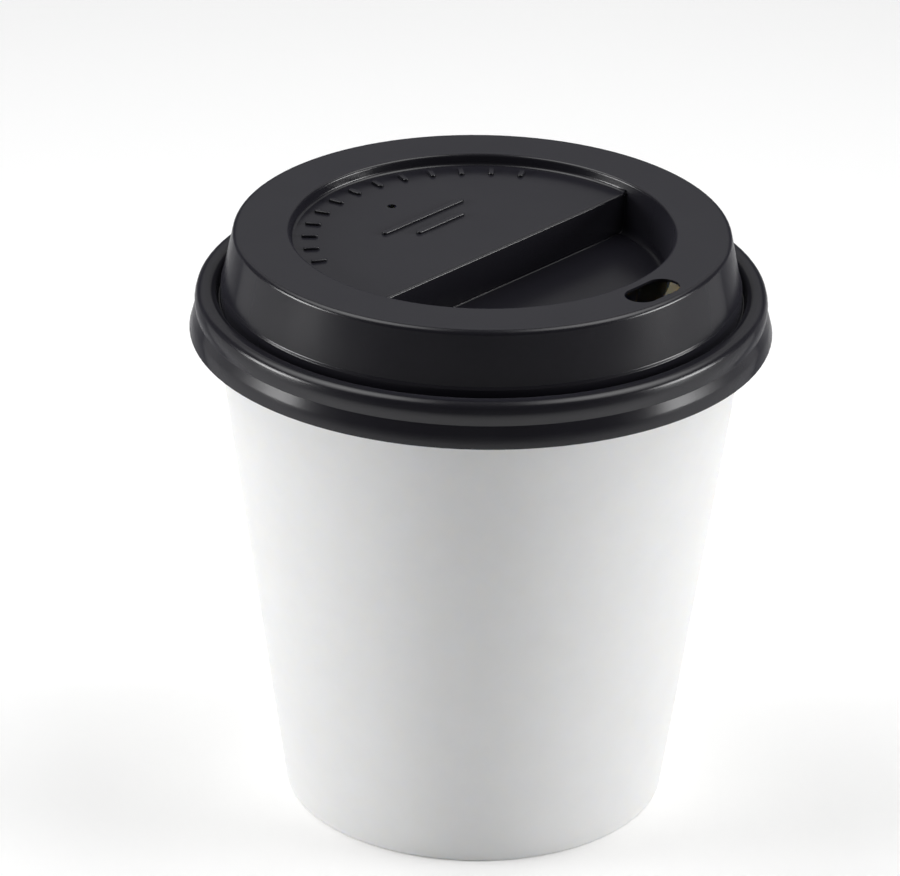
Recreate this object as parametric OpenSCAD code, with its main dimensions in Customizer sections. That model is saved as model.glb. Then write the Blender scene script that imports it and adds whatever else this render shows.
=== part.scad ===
// Paper hot cup with a press-on sip lid.
// The cup stands on the XY plane with its axis on Z, and the lid's sip hole is towards -Y.

/* [Cup] */
// Height of the cup, to the top of its rolled rim
cup_h = 87.2; // [70:0.1:120]
// Outer diameter of the rolled rim
rim_d = 89.5; // [86:0.1:96]
// Outer diameter of the wall at its foot
base_d = 61.4; // [54:0.1:68]
// Thickness of the coated paperboard
board_t = 0.35; // [0.25:0.01:0.45]
// Diameter of the rim's rolled section
roll_d = 2.2; // [1.8:0.1:2.6]
// How far round the paper edge is rolled, in degrees
roll_turn = 300; // [220:5:310]

/* [Side seam] */
// Overlap of the blank's two ends, measured halfway up the wall
seam_lap = 7; // [4:0.5:12]
// Direction of the overlap's middle, in degrees anticlockwise from +X
seam_dir = 60; // [0:5:355]
// Height at which the outer ply is trimmed above the foot
seam_trim = 0.6; // [0.4:0.1:2]

/* [Base] */
// Height of the cup's floor above the table
floor_h = 8; // [7.2:0.1:14]
// Height of the wall's edge where it is turned up inside the foot
hem_h = 6.2; // [3:0.1:7]
// Radius at the edge of the floor, where it turns down into its skirt
floor_edge_r = 0.7; // [0.5:0.1:1.5]
// Thickness of the sealed joint between two plies
seal_gap = 0.02; // [0.01:0.01:0.05]

/* [Lid rim] */
// Thickness of the lid's formed sheet
lid_t = 0.4; // [0.3:0.05:0.5]
// Sideways clearance between the lid and the rim
lid_gap = 0.2; // [0.1:0.05:0.4]
// Clearance between the rim's top and the lid's shoulder
seat_gap = 0.1; // [0.05:0.05:0.3]
// Height of the skirt below the notch
skirt_h = 3.5; // [2.5:0.1:7]
// How far the skirt stands out past the notch
skirt_flare = 1; // [0.6:0.05:1.6]
// Height of the shoulder above the notch
shoulder_h = 3.6; // [2.6:0.1:4.5]
// How far the shoulder swells out past the notch
shoulder_swell = 0.23; // [0:0.01:0.4]
// How far the shoulder's top edge leans in from the notch
shoulder_lean = 0.35; // [0:0.05:0.5]
// Radius of the shoulder's two top edges, which arch it over the rolled rim
shoulder_edge_r = 1.4; // [0.8:0.1:1.6]
// Width of the narrow moat between the shoulder and the dome
moat_w = 0.45; // [0.3:0.05:0.8]
// Depth of the moat below the shoulder's top
moat_depth = 2.2; // [1:0.1:3]

/* [Lid dome] */
// Rise of the dome's top ring above the shoulder
dome_h = 9.5; // [7.5:0.1:16]
// How far the dome's wall leans in from its foot to its top
dome_taper = 1.7; // [0.5:0.05:3]
// Height of the dome's upright foot above the shoulder
foot_h = 0.55; // [0.2:0.05:1.5]
// Height of the flare between the foot and the dome's wall
cove_h = 2.2; // [1:0.1:3]
// How far the flare carries the foot out past the dome's wall
cove_w = 0.3; // [0.1:0.05:0.6]
// Radius of the dome's top edge
dome_edge_r = 0.9; // [0.6:0.1:2]
// Width of the top ring, between the dome's wall and the well
ring_w = 8.8; // [8:0.1:14]

/* [Lid well] */
// Depth of the well's upper floor below the top ring
well_depth = 1.8; // [1.5:0.1:5]
// Depth of the drinking pocket's floor below the top ring
pocket_depth = 8.2; // [6.5:0.1:12]
// Distance of the pocket's step from the axis
step_offset = 4.3; // [-6:0.1:12]
// Slope of the well's round wall, in degrees from upright
well_draft = 8; // [1:0.5:12]
// Slope of the pocket's step, in degrees from upright
step_draft = 5; // [1:0.5:20]
// Radius of the well's upper edges
well_edge_r = 0.5; // [0.45:0.05:1.2]
// Radius at the foot of the upper floor's wall and of the step
well_floor_r = 0.6; // [0.3:0.1:1.2]
// Radius at the foot of the pocket's round wall
pocket_floor_r = 1.6; // [0.5:0.1:3]

/* [Lid openings] */
// Length of the sip hole along the top ring
sip_len = 10.4; // [6:0.1:16]
// Width of the sip hole across the top ring
sip_w = 5.4; // [4.4:0.1:6]
// Diameter of the vent hole
vent_d = 1.5; // [0.8:0.1:3]
// Distance of the vent hole from the axis
vent_r = 19.3; // [10:0.1:26]

/* [Hidden] */
$fn = 180;

// Largest turn between two straight stretches of a rounded outline, in degrees
arc_step = 15;
// How far a cut runs past the face that it opens
skim = 0.02;
// How deep one ply is sunk in the ply that it is sealed to
bond = board_t / 3;

// Rolled rim and tapered wall: the wall's outer face is tangent to the inside of the roll
rim_r = rim_d / 2;
roll_r = roll_d / 2;
roll_c = [rim_r - roll_r, cup_h - roll_r];
foot_to_roll = roll_c - [base_d / 2, 0];
wall_lean = atan2(foot_to_roll[0], foot_to_roll[1]) - asin((roll_r - board_t) / norm(foot_to_roll));
ply_w = board_t / cos(wall_lean);
seal_w = seal_gap / cos(wall_lean);

// Radius of the wall's outer and inner face at a height
function wall_out(z) = base_d / 2 + z * tan(wall_lean);
function wall_in(z) = wall_out(z) - ply_w;

// Seam: the outer ply runs off the wall along a plane that almost touches it
seam_deg = seam_lap / wall_out(cup_h / 2) * 180 / PI;
runoff_deg = acos(base_d / (base_d + 2 * board_t)) + 2;
runoff_tilt = 1.5;

// Lid levels
shoulder_z = cup_h + seat_gap + lid_t;
notch_z = shoulder_z - shoulder_h;
skirt_z = notch_z - skirt_h;
moat_z = shoulder_z - moat_depth;
top_z = shoulder_z + dome_h;
foot_z = shoulder_z + foot_h;
well_z = top_z - well_depth;
pocket_z = top_z - pocket_depth;

// Lid radii, from the rim outwards and from the mouth inwards
notch_r = rim_r + lid_gap + lid_t;
skirt_r = notch_r + skirt_flare;
moat_out_r = wall_in(moat_z - lid_t) - lid_gap - lid_t;
plug_lean = moat_depth * tan(wall_lean) + lid_gap / 2;
foot_r = moat_out_r - moat_w;
dome_r = foot_r - cove_w - dome_taper;
cove_r = dome_r + dome_taper * (1 - cove_h / (top_z - foot_z));
well_r = dome_r - ring_w;
sip_r = (dome_r + well_r) / 2;

// Direction from a to b, and the direction to the right of a heading
function heading(a, b) = (b - a) / norm(b - a);
function right_of(d) = [d[1], -d[0]];
function flat(p) = [p[0], p[1]];
function turned(v, deg) = [v[0] * cos(deg) - v[1] * sin(deg), v[0] * sin(deg) + v[1] * cos(deg)];
function reversed(list) = [for (i = [len(list) - 1:-1:0]) list[i]];

// Points along an arc, without its first one
function arc(c, r, from, sweep) =
    let (steps = ceil(abs(sweep) / arc_step))
    [for (k = [1:steps]) c + r * [cos(from + sweep * k / steps), sin(from + sweep * k / steps)]];

// Outline of [x, y, radius] points moved sideways to the right, its bends with the same centres
function shifted(pts, by) = [
    for (i = [0:len(pts) - 1])
    let (
        last = len(pts) - 1,
        p = flat(pts[i]),
        d_in = i > 0 ? heading(flat(pts[i - 1]), p) : heading(p, flat(pts[i + 1])),
        d_out = i < last ? heading(p, flat(pts[i + 1])) : d_in,
        n_in = right_of(d_in),
        n_out = right_of(d_out),
        q = p + (n_in + n_out) * by / (1 + n_in * n_out),
        bend = pts[i][2] + by * sign(cross(d_in, d_out))
    )
    [q[0], q[1], pts[i][2] > 0 ? max(bend, 0) : 0]
];

// One corner of an outline, rounded as far as its two arms allow
function corner(a, p, b, r) =
    let (
        to_a = heading(p, a),
        to_b = heading(p, b),
        half = acos(to_a * to_b) / 2,
        reach = min(r / tan(half), 0.48 * norm(a - p), 0.48 * norm(b - p)),
        c = p + heading([0, 0], to_a + to_b) * reach / cos(half),
        spoke = p + to_a * reach - c,
        sweep = (180 - 2 * half) * sign(cross(spoke, p + to_b * reach - c)),
        steps = ceil(abs(sweep) / arc_step)
    )
    r > 0 ? [for (k = [0:steps]) c + turned(spoke, sweep * k / steps)] : [p];

// Outline with each inner corner rounded to its own radius
function rounded(pts) = [
    for (i = [0:len(pts) - 1])
    each i == 0 || i == len(pts) - 1
        ? [flat(pts[i])]
        : corner(flat(pts[i - 1]), flat(pts[i]), flat(pts[i + 1]), pts[i][2])
];

// Section between two sideways offsets of one path
function strip(pts, near, far) = concat(rounded(shifted(pts, near)), reversed(rounded(shifted(pts, far))));

// Section of the blank: a lead-in path, then the roll, between two offsets from its inner face
function blank_side(lead, by, turn) =
    concat(rounded(shifted(lead, by)), arc(roll_c, roll_r - by, 180 - wall_lean, -turn));
function blank(lead, near, far, turn) =
    concat(blank_side(lead, near, turn), reversed(blank_side(lead, far, turn)));

// Where the wall's inner face runs into the roll
roll_start = roll_c + roll_r * [-cos(wall_lean), sin(wall_lean)];

// Inner face of the wall, from the top of its hem, round the foot and up to the roll
slot_w = ply_w + 2 * seal_w;
fold_r = slot_w / 10;
hem_in = wall_in(board_t) - slot_w;
hem_path = [
    [hem_in + (hem_h - board_t) * tan(wall_lean), hem_h, 0],
    [hem_in, board_t, fold_r],
    [wall_in(board_t), board_t, fold_r],
    [roll_start[0], roll_start[1], 0]
];

// Inner face of the wall above the foot
seam_path = [
    [wall_in(seam_trim), seam_trim, 0],
    [roll_start[0], roll_start[1], 0]
];

// Half-space on the inner side of a plane that meets the wall along one upright line
module inside_of_wall_plane(deg, tilt) {
    size = 4 * cup_h;
    rotate([0, 0, deg])
        translate([base_d / 2, 0, 0])
            rotate([0, wall_lean, 0])
                rotate([0, 0, tilt])
                    translate([-size, -size / 2, -size / 2])
                        cube(size);
}

// Outer ply of the seam: a full edge at one end, running off the wall at the other
module seam_ply() {
    start = seam_dir - seam_deg / 2;
    intersection() {
        rotate([0, 0, start])
            rotate_extrude(angle = seam_deg + runoff_deg)
                polygon(blank(seam_path, board_t - bond, 2 * board_t, roll_turn - arc_step));
        inside_of_wall_plane(start + seam_deg + runoff_deg - 2, -runoff_tilt);
    }
}

// Folded and rolled paperboard wall, with its lapped side seam
module cup_sidewall() {
    color("white") {
        rotate_extrude()
            polygon(blank(hem_path, 0, board_t, roll_turn));
        seam_ply();
    }
}

// Floor of the cup: a disc with a skirt turned down between the wall and its hem
module cup_bottom() {
    skirt_z = board_t + seal_gap;
    floor_path = [
        [0, floor_h, 0],
        [wall_in(floor_h) - seal_w, floor_h, floor_edge_r],
        [wall_in(skirt_z) - seal_w, skirt_z, 0]
    ];
    color("whitesmoke")
        rotate_extrude()
            polygon(strip(floor_path, 0, board_t));
}

// Outer face of the lid, from the skirt's edge up and over to the axis at the top ring's level
lid_path = [
    [skirt_r, skirt_z, 0],
    [notch_r + skirt_flare * 0.6, notch_z - skirt_h * 0.45, 4],
    [notch_r, notch_z, 0.2],
    [notch_r + shoulder_swell, notch_z + shoulder_h * 0.38, 4],
    [notch_r - shoulder_lean, shoulder_z, shoulder_edge_r],
    [moat_out_r + plug_lean, shoulder_z, shoulder_edge_r],
    [moat_out_r, moat_z, 0.2],
    [foot_r, moat_z, 0.2],
    [foot_r, foot_z, 0.4],
    [cove_r, foot_z + cove_h, 10],
    [dome_r, top_z, dome_edge_r],
    [0, top_z, 0]
];

// Upper face of the well, from the top ring down its round wall to a floor
function well_path(r, depth, foot_r) = [
    [r + ring_w / 3, top_z + skim, 0],
    [r, top_z + skim, well_edge_r],
    [r - depth * tan(well_draft), top_z - depth, foot_r],
    [0, top_z - depth, 0]
];

// Upper face of the pocket's step, from its floor up to the well's upper floor
step_run = (pocket_depth - well_depth) * tan(step_draft);
step_path = [
    [well_r + ring_w, pocket_z, 0],
    [step_offset + step_run, pocket_z, well_floor_r],
    [step_offset, well_z + skim, well_edge_r],
    [step_offset - ring_w / 3, well_z + skim, 0]
];

// Space above such a face, grown downwards by the sheet where its underside is wanted
function space_above(path, grow) =
    let (
        face = rounded(shifted(path, -grow)),
        sky = top_z + ring_w
    )
    concat(face, [[face[len(face) - 1][0], sky], [face[0][0], sky]]);

// Round well with a shallow floor, and a deeper D-shaped pocket on the drinking side
module well(grow) {
    rotate_extrude()
        polygon(space_above(well_path(well_r, well_depth, well_floor_r), grow));
    intersection() {
        rotate_extrude()
            polygon(space_above(well_path(well_r + skim, pocket_depth, pocket_floor_r), grow));
        rotate([90, 0, -90])
            linear_extrude(height = 2 * dome_r, center = true)
                polygon(space_above(step_path, grow));
    }
}

// Solid turned from the lid's outer face, offset inwards and carried down below the skirt
module turned_lid(inset, drop) {
    face = rounded(shifted(lid_path, -inset));
    rotate_extrude()
        polygon(concat([[0, skirt_z - drop], [face[0][0], skirt_z - drop]], face));
}

// Outline of a slot with round ends, lying along X
function slot_outline(len, w) = concat(
    [[len / 2 - w / 2, -w / 2]],
    arc([len / 2 - w / 2, 0], w / 2, -90, 180),
    [[w / 2 - len / 2, w / 2]],
    arc([w / 2 - len / 2, 0], w / 2, 90, 180)
);

// Sip hole through the top ring and vent hole through the well's upper floor
module lid_holes() {
    translate([0, -sip_r, top_z - 2 * lid_t])
        linear_extrude(height = 3 * lid_t)
            polygon(slot_outline(sip_len, sip_w));
    translate([0, vent_r, well_z - 2 * lid_t])
        cylinder(d = vent_d, h = 3 * lid_t);
}

// Formed plastic lid: skirt, shoulder, moat, dome and well in one sheet
module lid() {
    color("#1d1d20")
        difference() {
            turned_lid(0, 0);
            well(0);
            difference() {
                turned_lid(lid_t, lid_t);
                well(lid_t);
            }
            lid_holes();
        }
}

cup_sidewall();
cup_bottom();
lid();
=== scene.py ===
import math

import bmesh
import bpy
from mathutils import Matrix, Quaternion, Vector


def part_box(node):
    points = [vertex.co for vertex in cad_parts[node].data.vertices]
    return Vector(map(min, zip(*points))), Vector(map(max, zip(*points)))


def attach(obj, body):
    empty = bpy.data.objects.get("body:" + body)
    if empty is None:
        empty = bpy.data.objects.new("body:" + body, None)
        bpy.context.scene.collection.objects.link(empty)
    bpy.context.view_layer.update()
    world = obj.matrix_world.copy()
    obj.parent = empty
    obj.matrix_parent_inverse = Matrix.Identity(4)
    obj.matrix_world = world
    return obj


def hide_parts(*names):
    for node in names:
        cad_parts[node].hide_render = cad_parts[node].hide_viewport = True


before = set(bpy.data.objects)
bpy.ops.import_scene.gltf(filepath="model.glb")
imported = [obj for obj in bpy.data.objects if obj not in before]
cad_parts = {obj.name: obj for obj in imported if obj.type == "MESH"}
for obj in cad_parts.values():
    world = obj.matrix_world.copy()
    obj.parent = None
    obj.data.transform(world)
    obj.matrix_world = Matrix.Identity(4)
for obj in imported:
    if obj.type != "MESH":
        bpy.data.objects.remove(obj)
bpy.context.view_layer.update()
scene = bpy.context.scene
mm = 0.001
mergeWithin = 0.0005 * mm
cornerStep = 9  # degrees between the points of a rounded corner
noiseSpan = (0.3, 0.7)  # most of a noise texture's values lie between these
print("frame loaded:", ", ".join(sorted(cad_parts)))


# sRGB hex to the linear colour that shaders want
def linear(hexColour, alpha=1.0):
    parts = [int(hexColour[i:i + 2], 16) / 255 for i in (1, 3, 5)]
    return [c / 12.92 if c <= 0.04045 else ((c + 0.055) / 1.055) ** 2.4 for c in parts] + [alpha]


# adds one node, sets its attributes and inputs, and links outputs into it
def addNode(tree, kind, settings=None, values=None, links=None):
    node = tree.nodes.new(kind)
    for name, value in (settings or {}).items():
        setattr(node, name, value)
    for name, value in (values or {}).items():
        node.inputs[name].default_value = value
    for name, source in (links or {}).items():
        tree.links.new(source, node.inputs[name])
    return node


def newMaterial(name):
    material = bpy.data.materials.new(name)
    material.use_nodes = True
    material.node_tree.nodes.clear()
    return material, material.node_tree


# texture scale for a feature of this size
def perMm(size):
    return 1 / (size * mm)


# coated cup board: bright, nearly matt, with cloudy formation and fine fibres; a little light gets through
def whiteCupBoard():
    look = {
        "white": "#f4f3f1",
        "cloud": "#efeeeb",
        "cloudMm": 5.0,
        "fibreMm": 0.45,
        "reliefMm": 0.006,
        "roughness": (0.50, 0.60),
        "ior": 1.45,
        "through": 0.5,
        "throughMm": (0.9, 0.8, 0.62),  # how far red, green and blue travel in the board
    }
    material, tree = newMaterial("coated_cup_board")
    place = addNode(tree, "ShaderNodeTexCoord").outputs["Object"]
    cloud = addNode(tree, "ShaderNodeTexNoise", values={
        "Scale": perMm(look["cloudMm"]), "Detail": 3.0, "Roughness": 0.6}, links={"Vector": place})
    fibre = addNode(tree, "ShaderNodeTexNoise", values={
        "Scale": perMm(look["fibreMm"]), "Detail": 4.0, "Roughness": 0.65, "Distortion": 0.6},
        links={"Vector": place})
    tint = addNode(tree, "ShaderNodeMix", {"data_type": "RGBA"}, {
        "A": linear(look["white"]), "B": linear(look["cloud"])}, {"Factor": cloud.outputs["Fac"]})
    gloss = addNode(tree, "ShaderNodeMapRange", values={
        "From Min": noiseSpan[0], "From Max": noiseSpan[1],
        "To Min": look["roughness"][0], "To Max": look["roughness"][1]},
        links={"Value": fibre.outputs["Fac"]})
    relief = addNode(tree, "ShaderNodeBump", values={
        "Strength": 0.6, "Distance": look["reliefMm"] * mm}, links={"Height": fibre.outputs["Fac"]})
    shader = addNode(tree, "ShaderNodeBsdfPrincipled", values={
        "IOR": look["ior"], "Subsurface Weight": look["through"], "Subsurface Scale": mm,
        "Subsurface Radius": look["throughMm"]},
        links={"Base Color": tint.outputs["Result"], "Roughness": gloss.outputs["Result"],
               "Normal": relief.outputs["Normal"]})
    addNode(tree, "ShaderNodeOutputMaterial", links={"Surface": shader.outputs["BSDF"]})
    return material


# thermoformed polystyrene: cool black, satin, with the faint grain that the sheet keeps from its roll
def blackPolystyrene():
    look = {
        "black": "#141319",
        "grainMm": 0.25,
        "streakMm": 9.0,
        "reliefMm": 0.004,
        "roughness": (0.21, 0.25),
        "ior": 1.45,
        "mirror": (0.55, 0.01),  # seen squarely and seen along the surface
        "mirrorFades": (0.3, 0.66),  # between these turns from the eye, where 0 is square on
        "haze": 0.07,
        "hazeTint": "#eeeeff",
    }
    material, tree = newMaterial("formed_black_polystyrene")
    place = addNode(tree, "ShaderNodeTexCoord").outputs["Object"]
    grain = addNode(tree, "ShaderNodeTexNoise", values={
        "Scale": perMm(look["grainMm"]), "Detail": 3.0, "Roughness": 0.6}, links={"Vector": place})
    streak = addNode(tree, "ShaderNodeTexNoise", values={
        "Scale": perMm(look["streakMm"]), "Detail": 2.0, "Roughness": 0.5}, links={"Vector": place})
    gloss = addNode(tree, "ShaderNodeMapRange", values={
        "From Min": noiseSpan[0], "From Max": noiseSpan[1],
        "To Min": look["roughness"][0], "To Max": look["roughness"][1]},
        links={"Value": streak.outputs["Fac"]})
    relief = addNode(tree, "ShaderNodeBump", values={
        "Strength": 0.5, "Distance": look["reliefMm"] * mm}, links={"Height": grain.outputs["Fac"]})
    # the grain dulls the mirror image at low angles and leaves a haze there
    facing = addNode(tree, "ShaderNodeLayerWeight", values={"Blend": 0.5}).outputs["Facing"]
    mirror = addNode(tree, "ShaderNodeMapRange", values={
        "From Min": look["mirrorFades"][0], "From Max": look["mirrorFades"][1],
        "To Min": look["mirror"][0], "To Max": look["mirror"][1]}, links={"Value": facing})
    shader = addNode(tree, "ShaderNodeBsdfPrincipled", values={
        "Base Color": linear(look["black"]), "IOR": look["ior"], "Sheen Weight": look["haze"],
        "Sheen Roughness": 0.5, "Sheen Tint": linear(look["hazeTint"])},
        links={"Roughness": gloss.outputs["Result"], "Normal": relief.outputs["Normal"],
               "Specular IOR Level": mirror.outputs["Result"]})
    addNode(tree, "ShaderNodeOutputMaterial", links={"Surface": shader.outputs["BSDF"]})
    return material


boardWhite = whiteCupBoard()
lidBlack = blackPolystyrene()
print("materials made")


# profile in the XZ plane: radius, height and corner rounding of each point, in mm
def sectionWire(bm, section):
    places = [Vector((r, 0, z)) * mm for r, z, rounding in section]
    points = [bm.verts.new(place) for place in places]
    for a, b in zip(points, points[1:]):
        bm.edges.new((a, b))
    for i in range(1, len(section) - 1):
        if section[i][2]:
            turn = (places[i] - places[i - 1]).angle(places[i + 1] - places[i])
            bmesh.ops.bevel(bm, geom=[points[i]], offset=section[i][2] * mm * math.tan(turn / 2),
                            offset_type="OFFSET", segments=max(3, round(math.degrees(turn) / cornerStep)),
                            profile=0.5, affect="VERTICES", material=-1)
    return points


def spinRound(bm, steps=240):
    bmesh.ops.spin(bm, geom=bm.verts[:] + bm.edges[:], cent=(0, 0, 0), axis=(0, 0, 1), dvec=(0, 0, 0),
                   angle=math.tau, steps=steps, use_merge=True)


def turnRound(bm, verts, angle):
    bmesh.ops.rotate(bm, verts=verts, cent=(0, 0, 0), matrix=Matrix.Rotation(angle, 3, "Z"))


# edges at these points, each once and in a fixed order
def edgesAt(verts):
    return list(dict.fromkeys(edge for vert in verts for edge in vert.link_edges))


def mergeDoubles(bm):
    bmesh.ops.remove_doubles(bm, verts=bm.verts, dist=mergeWithin)


# merges a sheet's doubles and turns its faces outwards
def closeSheet(bm):
    mergeDoubles(bm)
    bmesh.ops.recalc_face_normals(bm, faces=bm.faces)


# makes the object, which rides on a body and may stand for a node
def makePiece(bm, name, body, node, finish):
    for face in bm.faces:
        face.smooth = True
    mesh = bpy.data.meshes.new(name)
    bm.to_mesh(mesh)
    bm.free()
    mesh.materials.append(finish)
    piece = bpy.data.objects.new(name, mesh)
    scene.collection.objects.link(piece)
    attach(piece, body)
    if node:
        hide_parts(node)
    return piece


# gives an open sheet its thickness, behind the side that is drawn
def thicken(piece, thick):
    sheet = piece.modifiers.new("sheet", "SOLIDIFY")
    sheet.thickness = thick * mm
    sheet.offset = -1
    sheet.use_even_offset = True


# keeps flat faces flat beside their rounded edges
def evenShading(piece):
    shading = piece.modifiers.new("shading", "WEIGHTED_NORMAL")
    shading.weight = 60
    shading.keep_sharp = True


# the paperboard blank: its inner face runs from the hem's edge under the foot, up the wall and over the rim
cupForm = {
    "board": 0.35,
    "rimR": 44.75,
    "footR": 30.7,
    "hemHigh": 6.2,
    "foldRound": 0.18,
    "rollR": 1.1,
    "rollTurn": 300,
    "rollSteps": 40,
    "sealGap": 0.02,
    "floorHigh": 8.0,
    "floorRound": 0.7,
    "seamLap": 7.0,
    "seamTurn": 60,
    "seamTrim": 0.6,
    "seamSteps": 14,
    "seamFull": 0.7,  # share of the lap that keeps its height before it runs into the wall
    "seamSink": 1.02,  # how far it runs in, in boards
}
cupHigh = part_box("cup_sidewall")[1][2] / mm
rollAt = (cupForm["rimR"] - cupForm["rollR"], cupHigh - cupForm["rollR"])
reachX, reachZ = rollAt[0] - cupForm["footR"], rollAt[1]
rollBite = math.asin((cupForm["rollR"] - cupForm["board"]) / math.hypot(reachX, reachZ))
wallLean = math.atan2(reachX, reachZ) - rollBite  # the wall's outer face is tangent to the roll's inside
plyWide = cupForm["board"] / math.cos(wallLean)


# radius of the wall's inner face at a height
def wallInside(z):
    return cupForm["footR"] + z * math.tan(wallLean) - plyWide


def makeCupWall():
    board, rollR = cupForm["board"], cupForm["rollR"]
    hemR = wallInside(board) - plyWide - 2 * cupForm["sealGap"]
    bm = bmesh.new()
    points = sectionWire(bm, (
        (hemR + (cupForm["hemHigh"] - board) * math.tan(wallLean), cupForm["hemHigh"], 0),
        (hemR, board, cupForm["foldRound"]),
        (wallInside(board), board, cupForm["foldRound"]),
        (rollAt[0] - rollR * math.cos(wallLean), rollAt[1] + rollR * math.sin(wallLean), 0)))
    bmesh.ops.spin(bm, geom=[points[-1]], cent=(rollAt[0] * mm, 0, rollAt[1] * mm), axis=(0, 1, 0),
                   dvec=(0, 0, 0), angle=math.radians(cupForm["rollTurn"]), steps=cupForm["rollSteps"])
    spinRound(bm)
    closeSheet(bm)
    wall = makePiece(bm, "cup_wall", "cup", "cup_sidewall", boardWhite)
    thicken(wall, board)  # the blank's inner face, which the roll turns outwards, is the side that is drawn
    evenShading(wall)


# outer ply of the side seam: full edge on one side, running into the wall on the other
def makeSeam():
    board, full = cupForm["board"], cupForm["seamFull"]
    lap = cupForm["seamLap"] / wallInside(rollAt[1] / 2)
    bm = bmesh.new()
    ends = (cupForm["seamTrim"], rollAt[1] - cupForm["rollR"])
    sectionWire(bm, [(wallInside(z) + 2 * plyWide, z, 0) for z in ends])
    bmesh.ops.spin(bm, geom=bm.verts[:] + bm.edges[:], cent=(0, 0, 0), axis=(0, 0, 1), dvec=(0, 0, 0),
                   angle=lap, steps=cupForm["seamSteps"])
    for vert in bm.verts:
        share = math.atan2(vert.co.y, vert.co.x) / lap
        sink = board * cupForm["seamSink"] * max(0, (share - full) / (1 - full)) * mm
        vert.co -= Vector((vert.co.x, vert.co.y, 0)).normalized() * sink
    turnRound(bm, bm.verts, math.radians(cupForm["seamTurn"]) - lap / 2)
    closeSheet(bm)
    seam = makePiece(bm, "cup_seam", "cup", None, boardWhite)
    thicken(seam, board)


def makeCupFloor():
    board = cupForm["board"]
    edgeR = wallInside(cupForm["floorHigh"]) - cupForm["sealGap"]
    skirtLow = board + cupForm["sealGap"]
    bm = bmesh.new()
    sectionWire(bm, (
        (0, cupForm["floorHigh"], 0),
        (edgeR, cupForm["floorHigh"], cupForm["floorRound"]),
        (wallInside(skirtLow) - cupForm["sealGap"], skirtLow, 0)))
    spinRound(bm)
    closeSheet(bm)
    disc = makePiece(bm, "cup_floor", "cup", "cup_bottom", boardWhite)
    thicken(disc, board)
    evenShading(disc)


makeCupWall()
makeSeam()
makeCupFloor()
print("cup made")

# the formed lid: sizes follow its outer face, in mm
lidForm = {
    "sheet": 0.4,
    "skirtHigh": 3.5,
    "flare": 1.0,
    "skirtBend": (0.5, 0.45),  # shares of the flare and of the skirt's height
    "shoulderHigh": 3.6,
    "swell": 0.23,
    "swellAt": 0.38,  # share of the shoulder's height
    "lean": 0.35,
    "moatOutR": 41.80,
    "plugLean": 0.51,
    "moatWide": 0.45,
    "moatDeep": 2.2,
    "domeTaper": 1.85,
    "footHigh": 0.55,
    "cove": (0.15, 0.35),  # width and height of the flare at the dome's foot
    "ringWide": 8.8,
    "wellDeep": 1.8,
    "pocketDeep": 8.2,
    "wellDraft": 8,
    "stepDraft": 5,
    "sip": (10.4, 5.4),
    "vent": (1.5, 19.3),  # diameter and distance from the axis
    "bandHalf": 3.3,  # half of the top ring's band that takes the sip hole
    "floorBand": 1.0,  # plain border round the shallow floor
    "holeSteps": 48,
    "ventSteps": 24,
    "spinSteps": 110,
    "pocketSteps": 50,  # steps of the spin along the pocket's round wall
}
# radius of each corner of the turned section
lidRounding = {
    "skirt": 4, "notch": 0.3, "swell": 3, "shoulderOut": 1.4, "shoulderIn": 1.3, "moat": 0.2, "foot": 0.2,
    "cove": 0.4, "dome": 0.9, "well": 0.5,
}
# how far each edge of the well is cut back for its rounding
wellRounding = {"stepTop": 0.35, "stepFoot": 0.2, "shallowFoot": 0.5, "pocketFoot": 1.35, "corner": 1.2}
lidLow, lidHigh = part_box("lid")
skirtR, skirtZ, lidTop = lidHigh[0] / mm, lidLow[2] / mm, lidHigh[2] / mm
notchR, notchZ = skirtR - lidForm["flare"], skirtZ + lidForm["skirtHigh"]
shoulderZ = notchZ + lidForm["shoulderHigh"]
footR = lidForm["moatOutR"] - lidForm["moatWide"]
domeR = footR - lidForm["cove"][0] - lidForm["domeTaper"]
footZ = shoulderZ + lidForm["footHigh"]
coveZ = footZ + lidForm["cove"][1]
coveR = domeR + lidForm["domeTaper"] * (lidTop - coveZ) / (lidTop - footZ)
wellR = domeR - lidForm["ringWide"]
sipR = (domeR + wellR) / 2
shallowZ, pocketZ = lidTop - lidForm["wellDeep"], lidTop - lidForm["pocketDeep"]
wellSlope = math.tan(math.radians(lidForm["wellDraft"]))
stepSlope = math.tan(math.radians(lidForm["stepDraft"]))
shallowR = wellR - lidForm["wellDeep"] * wellSlope
# the step is a chord that joins two points of the spin
stepTurn = math.pi * (0.5 - lidForm["pocketSteps"] / lidForm["spinSteps"])
stepBack = shallowR * math.sin(stepTurn)
stepFoot = stepBack + (shallowZ - pocketZ) * stepSlope
pocketR = shallowR - (shallowZ - pocketZ) * wellSlope
pocketScale = (math.sqrt((pocketR ** 2 - stepFoot ** 2) / (shallowR ** 2 - stepBack ** 2)),
               (pocketR - stepFoot) / (shallowR - stepBack), 1)


# near enough in mm to be the same height, radius or place
def same(a, b):
    return abs(a - b) < 0.01


# open edges at a height
def openEdges(bm, z):
    return [edge for edge in bm.edges if edge.is_boundary and all(same(v.co.z / mm, z) for v in edge.verts)]


# fills between an outline and a hole, whose edges stay crisp
def fillRound(bm, outline, loop):
    hole = edgesAt(loop)
    for edge in hole:
        edge.smooth = False
    bmesh.ops.triangle_fill(bm, edges=outline + hole, use_beauty=True)


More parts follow.
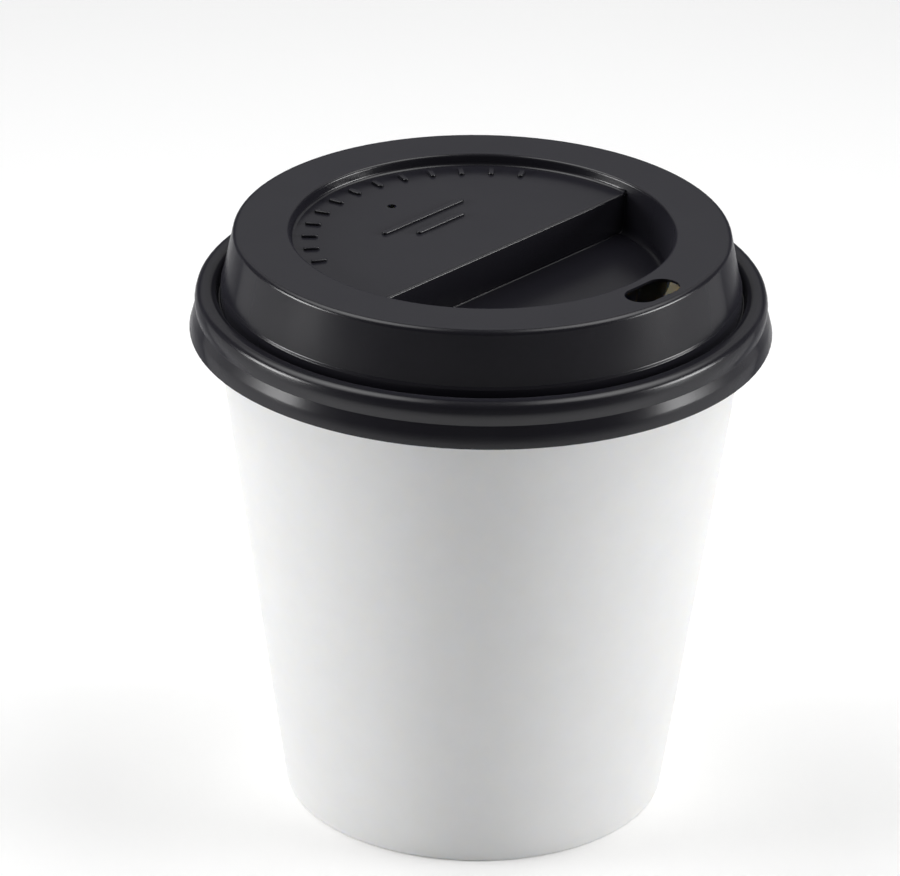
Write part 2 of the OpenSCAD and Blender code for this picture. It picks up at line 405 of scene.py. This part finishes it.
# replaces the inner band of the top ring, in front, by one with the sip hole's outline
def cutSipHole(bm):
    long, wide = lidForm["sip"]

    def inBand(place):
        offBand = abs(place.xy.length / mm - sipR)
        return same(place.z / mm, lidTop) and abs(place.x / mm) < long and offBand < lidForm["bandHalf"] + 0.1

    band = [face for face in bm.faces
            if face.calc_center_median().y < 0 and all(inBand(v.co) for v in face.verts)]
    bmesh.ops.delete(bm, geom=band, context="FACES")
    outline = openEdges(bm, lidTop)
    halfStep = Matrix.Rotation(math.pi / lidForm["holeSteps"], 4, "Z")
    loop = bmesh.ops.create_circle(bm, segments=lidForm["holeSteps"], radius=wide / 2 * mm,
                                   matrix=halfStep)["verts"]
    for vert in loop:
        vert.co.x += math.copysign((long - wide) / 2 * mm, vert.co.x)
    bmesh.ops.translate(bm, verts=loop, vec=(0, -sipR * mm, lidTop * mm))
    fillRound(bm, outline, loop)


# a chord divides the well's floor: the back stays shallow and the front is drawn down as the drinking pocket
def formWell(bm):
    floor = bmesh.ops.contextual_create(bm, geom=openEdges(bm, shallowZ))["faces"][0]
    ends = [v for v in floor.verts if abs(v.co.y / mm + stepBack) < 0.1]
    bmesh.ops.connect_verts(bm, verts=ends)
    front, back = sorted((face for face in ends[0].link_faces if ends[1] in face.verts),
                         key=lambda face: face.calc_center_median().y)
    lowered = bmesh.ops.extrude_face_region(bm, geom=[front])["geom"]
    bmesh.ops.delete(bm, geom=[front], context="FACES_ONLY")
    verts = [item for item in lowered if isinstance(item, bmesh.types.BMVert)]
    chord = Matrix.Translation((0, stepBack * mm, 0))
    bmesh.ops.scale(bm, verts=verts, vec=pocketScale, space=chord)
    bmesh.ops.translate(bm, verts=verts, vec=(0, (stepBack - stepFoot) * mm, (pocketZ - shallowZ) * mm))
    bmesh.ops.inset_individual(bm, faces=[back], thickness=lidForm["floorBand"] * mm, use_even_offset=True)
    outline = back.edges[:]
    bmesh.ops.delete(bm, geom=[back], context="FACES_ONLY")
    size, out = lidForm["vent"]
    loop = bmesh.ops.create_circle(bm, segments=lidForm["ventSteps"], radius=size / 2 * mm,
                                   matrix=Matrix.Translation((0, out * mm, shallowZ * mm)))["verts"]
    fillRound(bm, outline, loop)


# which floor of the well a point in mm lies on
def wellLevel(place):
    if place.xy.length < wellR:
        if same(place.z, shallowZ):
            return "shallow"
        if same(place.z, pocketZ):
            return "pocket"
    return ""


# share of the widest rounding that each edge of the well gets, for the bevel that finishes it
def weighWell(bm):
    widest = max(wellRounding.values())
    weight = bm.edges.layers.float.new("bevel_weight_edge")
    stepY = {"shallow": -stepBack, "pocket": -stepFoot}
    for edge in bm.edges:
        spots = [v.co / mm for v in edge.verts]
        levels = [wellLevel(p) for p in spots]
        onStep = all(level and same(p.y, stepY[level]) for p, level in zip(spots, levels))
        onWall = all(same(p.xy.length, shallowR) for p in spots)
        kind = None
        if levels == ["shallow", "shallow"]:
            behind = (spots[0].y + spots[1].y) / 2 > -stepBack
            kind = "stepTop" if onStep else "shallowFoot" if onWall and behind else None
        elif levels == ["pocket", "pocket"]:
            kind = "stepFoot" if onStep else "pocketFoot"
        elif onStep:
            kind = "corner"
        edge[weight] = wellRounding[kind] / widest if kind else 0
    return widest


def makeLid():
    form, rounding = lidForm, lidRounding
    moatZ = shoulderZ - form["moatDeep"]
    bendOut, bendDown = form["skirtBend"]
    bm = bmesh.new()
    sectionWire(bm, (
        (skirtR, skirtZ, 0),
        (notchR + form["flare"] * bendOut, notchZ - form["skirtHigh"] * bendDown, rounding["skirt"]),
        (notchR, notchZ, rounding["notch"]),
        (notchR + form["swell"], notchZ + form["shoulderHigh"] * form["swellAt"], rounding["swell"]),
        (notchR - form["lean"], shoulderZ, rounding["shoulderOut"]),
        (form["moatOutR"] + form["plugLean"], shoulderZ, rounding["shoulderIn"]),
        (form["moatOutR"], moatZ, rounding["moat"]),
        (footR, moatZ, rounding["moat"]),
        (footR, footZ, rounding["foot"]),
        (coveR, coveZ, rounding["cove"]),
        (domeR, lidTop, rounding["dome"]),
        (sipR + form["bandHalf"], lidTop, 0),
        (sipR - form["bandHalf"], lidTop, 0),
        (wellR, lidTop, rounding["well"]),
        (shallowR, shallowZ, 0)))
    spinRound(bm, form["spinSteps"])
    mergeDoubles(bm)
    turnRound(bm, bm.verts, -stepTurn)
    cutSipHole(bm)
    formWell(bm)
    widest = weighWell(bm)
    closeSheet(bm)
    lid = makePiece(bm, "lid_shell", "lid", "lid", lidBlack)
    edges = lid.modifiers.new("rounding", "BEVEL")
    edges.limit_method = "WEIGHT"
    edges.width = widest * mm
    edges.segments = 6
    edges.use_clamp_overlap = False
    thicken(lid, form["sheet"])
    evenShading(lid)


makeLid()
print("lid made")

# plain stiffening ribs on the shallow floor: a row along its back and two bars in the middle
ribForm = {
    "count": 13,
    "arc": (28, 152),
    "middleR": 27.3,
    "size": (2.6, 0.9),
    "bars": ((19.0, 12.6), (11.0, 8.9)),  # length and distance behind the axis
    "barWide": 1.0,
    "proud": 0.4,
    "sunk": 0.15,
    "endRound": 0.49,  # share of a rib's width
    "rounding": 0.16,
}


def addRib(bm, long, wide, turn, place):
    high = ribForm["proud"] + ribForm["sunk"]
    rib = bmesh.ops.create_cube(bm, size=1)["verts"]
    bmesh.ops.scale(bm, verts=rib, vec=Vector((long, wide, high)) * mm)
    upright = [edge for edge in edgesAt(rib) if abs(edge.verts[0].co.z - edge.verts[1].co.z) > high * mm / 2]
    ends = bmesh.ops.bevel(bm, geom=upright, offset=wide * ribForm["endRound"] * mm, offset_type="OFFSET",
                           segments=4, profile=0.5, affect="EDGES", material=-1)["verts"]
    top = [edge for edge in edgesAt(ends) if all(v.co.z > 0 for v in edge.verts)]
    done = bmesh.ops.bevel(bm, geom=top, offset=ribForm["rounding"] * mm, offset_type="OFFSET",
                           segments=3, profile=0.5, affect="EDGES", material=-1)["verts"]
    whole = [v for v in set(ends) | set(done) if v.is_valid]
    turnRound(bm, whole, turn)
    lift = shallowZ + ribForm["proud"] - high / 2
    bmesh.ops.translate(bm, verts=whole, vec=Vector((place[0], place[1], lift)) * mm)


def makeRibs():
    bm = bmesh.new()
    long, wide = ribForm["size"]
    out = ribForm["middleR"]
    first, last = (math.radians(turn) for turn in ribForm["arc"])
    for i in range(ribForm["count"]):
        turn = first + (last - first) * i / (ribForm["count"] - 1)
        addRib(bm, long, wide, turn, (out * math.cos(turn), out * math.sin(turn)))
    for barLong, behind in ribForm["bars"]:
        addRib(bm, barLong, ribForm["barWide"], 0, (0, behind))
    ribs = makePiece(bm, "lid_ribs", "lid", None, lidBlack)
    evenShading(ribs)


makeRibs()
print("ribs made")

# camera at the photograph's place, aimed at a point on the cup's axis
shot = {
    "azimuth": -49.0,
    "elevation": 26.0,
    "roll": 0.98,
    "distance": 0.962,
    "target": (0, 0, 48.4 * mm),
    "frame": (900, 876),
    "focalPx": 5957,
    "targetPx": (477.78, 506.5),
    "sensor": 36,
    "clip": (0.05, 20),
}


# level direction at a turn from the camera's side
def sideways(turn):
    a = math.radians(shot["azimuth"] + turn)
    return Vector((math.sin(a), -math.cos(a), 0))


def placeCamera():
    e = math.radians(shot["elevation"])
    back = sideways(0) * math.cos(e) + Vector((0, 0, math.sin(e)))
    wide, high = shot["frame"]
    data = bpy.data.cameras.new("shotCamera")
    data.sensor_width = shot["sensor"]
    data.lens = data.sensor_width * shot["focalPx"] / wide
    data.shift_x = (wide / 2 - shot["targetPx"][0]) / wide
    data.shift_y = (shot["targetPx"][1] - high / 2) / wide
    data.clip_start, data.clip_end = shot["clip"]
    camera = bpy.data.objects.new("shotCamera", data)
    camera.location = Vector(shot["target"]) + back * shot["distance"]
    camera.rotation_mode = "QUATERNION"
    roll = Quaternion((0, 0, 1), math.radians(shot["roll"]))
    camera.rotation_quaternion = (-back).to_track_quat("-Z", "Y") @ roll
    scene.collection.objects.link(camera)
    scene.camera = camera


placeCamera()
print("camera placed")

# a low box and a high box on each side of the cup, and a dim panel behind;
# turns are from the camera's side, in degrees, and lengths are in metres
studio = {
    "boxes": {
        "lowBox": {
            "turns": (-86, 86), "away": 0.9, "high": 0.24, "aim": (0, 0.12), "size": (0.45, 0.28),
            "spread": 70, "watts": 0.76},
        "highBox": {
            "turns": (-100, 100), "away": 0.55, "high": 0.95, "aim": (0.05, 0), "size": (1.0, 0.8),
            "spread": 70, "watts": 1.36},
        "backPanel": {
            "turns": (180,), "away": 1.3, "high": 0.9, "aim": (0, 0.1), "size": (2.4, 1.0),
            "spread": 180, "watts": 3.8},
    },
    "surround": "#ffffff",
    "surroundLevel": 0.075,
    "floor": "#f2f2f2",
    "floorHalf": 3.0,
    "glow": 0.15,  # added to the floor where it is looked at or mirrored, so that it comes out white
}


def placeLights():
    for name, box in studio["boxes"].items():
        for turn in box["turns"]:
            side = sideways(turn)
            data = bpy.data.lights.new(name, "AREA")
            data.shape = "RECTANGLE"
            data.size, data.size_y = box["size"]
            data.energy = box["watts"]
            data.spread = math.radians(box["spread"])
            lamp = bpy.data.objects.new(name, data)
            lamp.location = side * box["away"] + Vector((0, 0, box["high"]))
            aim = side * box["aim"][0] + Vector((0, 0, box["aim"][1])) - lamp.location
            lamp.rotation_mode = "QUATERNION"
            lamp.rotation_quaternion = aim.to_track_quat("-Z", "Y")
            scene.collection.objects.link(lamp)


# plain even surround
def makeWorld():
    world = bpy.data.worlds.new("studioWorld")
    world.use_nodes = True
    tree = world.node_tree
    tree.nodes.clear()
    surround = addNode(tree, "ShaderNodeBackground", values={
        "Color": linear(studio["surround"]), "Strength": studio["surroundLevel"]})
    addNode(tree, "ShaderNodeOutputWorld", links={"Surface": surround.outputs["Background"]})
    scene.world = world


# matt white paper sweep
def floorPaper():
    material, tree = newMaterial("studio_floor")
    matt = addNode(tree, "ShaderNodeBsdfDiffuse", values={"Color": linear(studio["floor"])})
    rays = addNode(tree, "ShaderNodeLightPath").outputs
    mirrored = addNode(tree, "ShaderNodeMath", {"operation": "MAXIMUM"}, links={
        0: rays["Is Glossy Ray"], 1: rays["Is Transmission Ray"]})
    seen = addNode(tree, "ShaderNodeMath", {"operation": "MAXIMUM"}, links={
        0: rays["Is Camera Ray"], 1: mirrored.outputs["Value"]})
    level = addNode(tree, "ShaderNodeMath", {"operation": "MULTIPLY"}, {1: studio["glow"]}, {
        0: seen.outputs["Value"]})
    glow = addNode(tree, "ShaderNodeEmission", links={"Strength": level.outputs["Value"]})
    both = addNode(tree, "ShaderNodeAddShader", links={0: matt.outputs["BSDF"], 1: glow.outputs["Emission"]})
    addNode(tree, "ShaderNodeOutputMaterial", links={"Surface": both.outputs["Shader"]})
    return material


def makeFloor():
    bm = bmesh.new()
    bmesh.ops.create_grid(bm, x_segments=1, y_segments=1, size=studio["floorHalf"])
    mesh = bpy.data.meshes.new("studioFloor")
    bm.to_mesh(mesh)
    bm.free()
    mesh.materials.append(floorPaper())
    floor = bpy.data.objects.new("studioFloor", mesh)
    scene.collection.objects.link(floor)


placeLights()
makeWorld()
makeFloor()
scene.view_settings.view_transform = "Standard"
print("studio set")
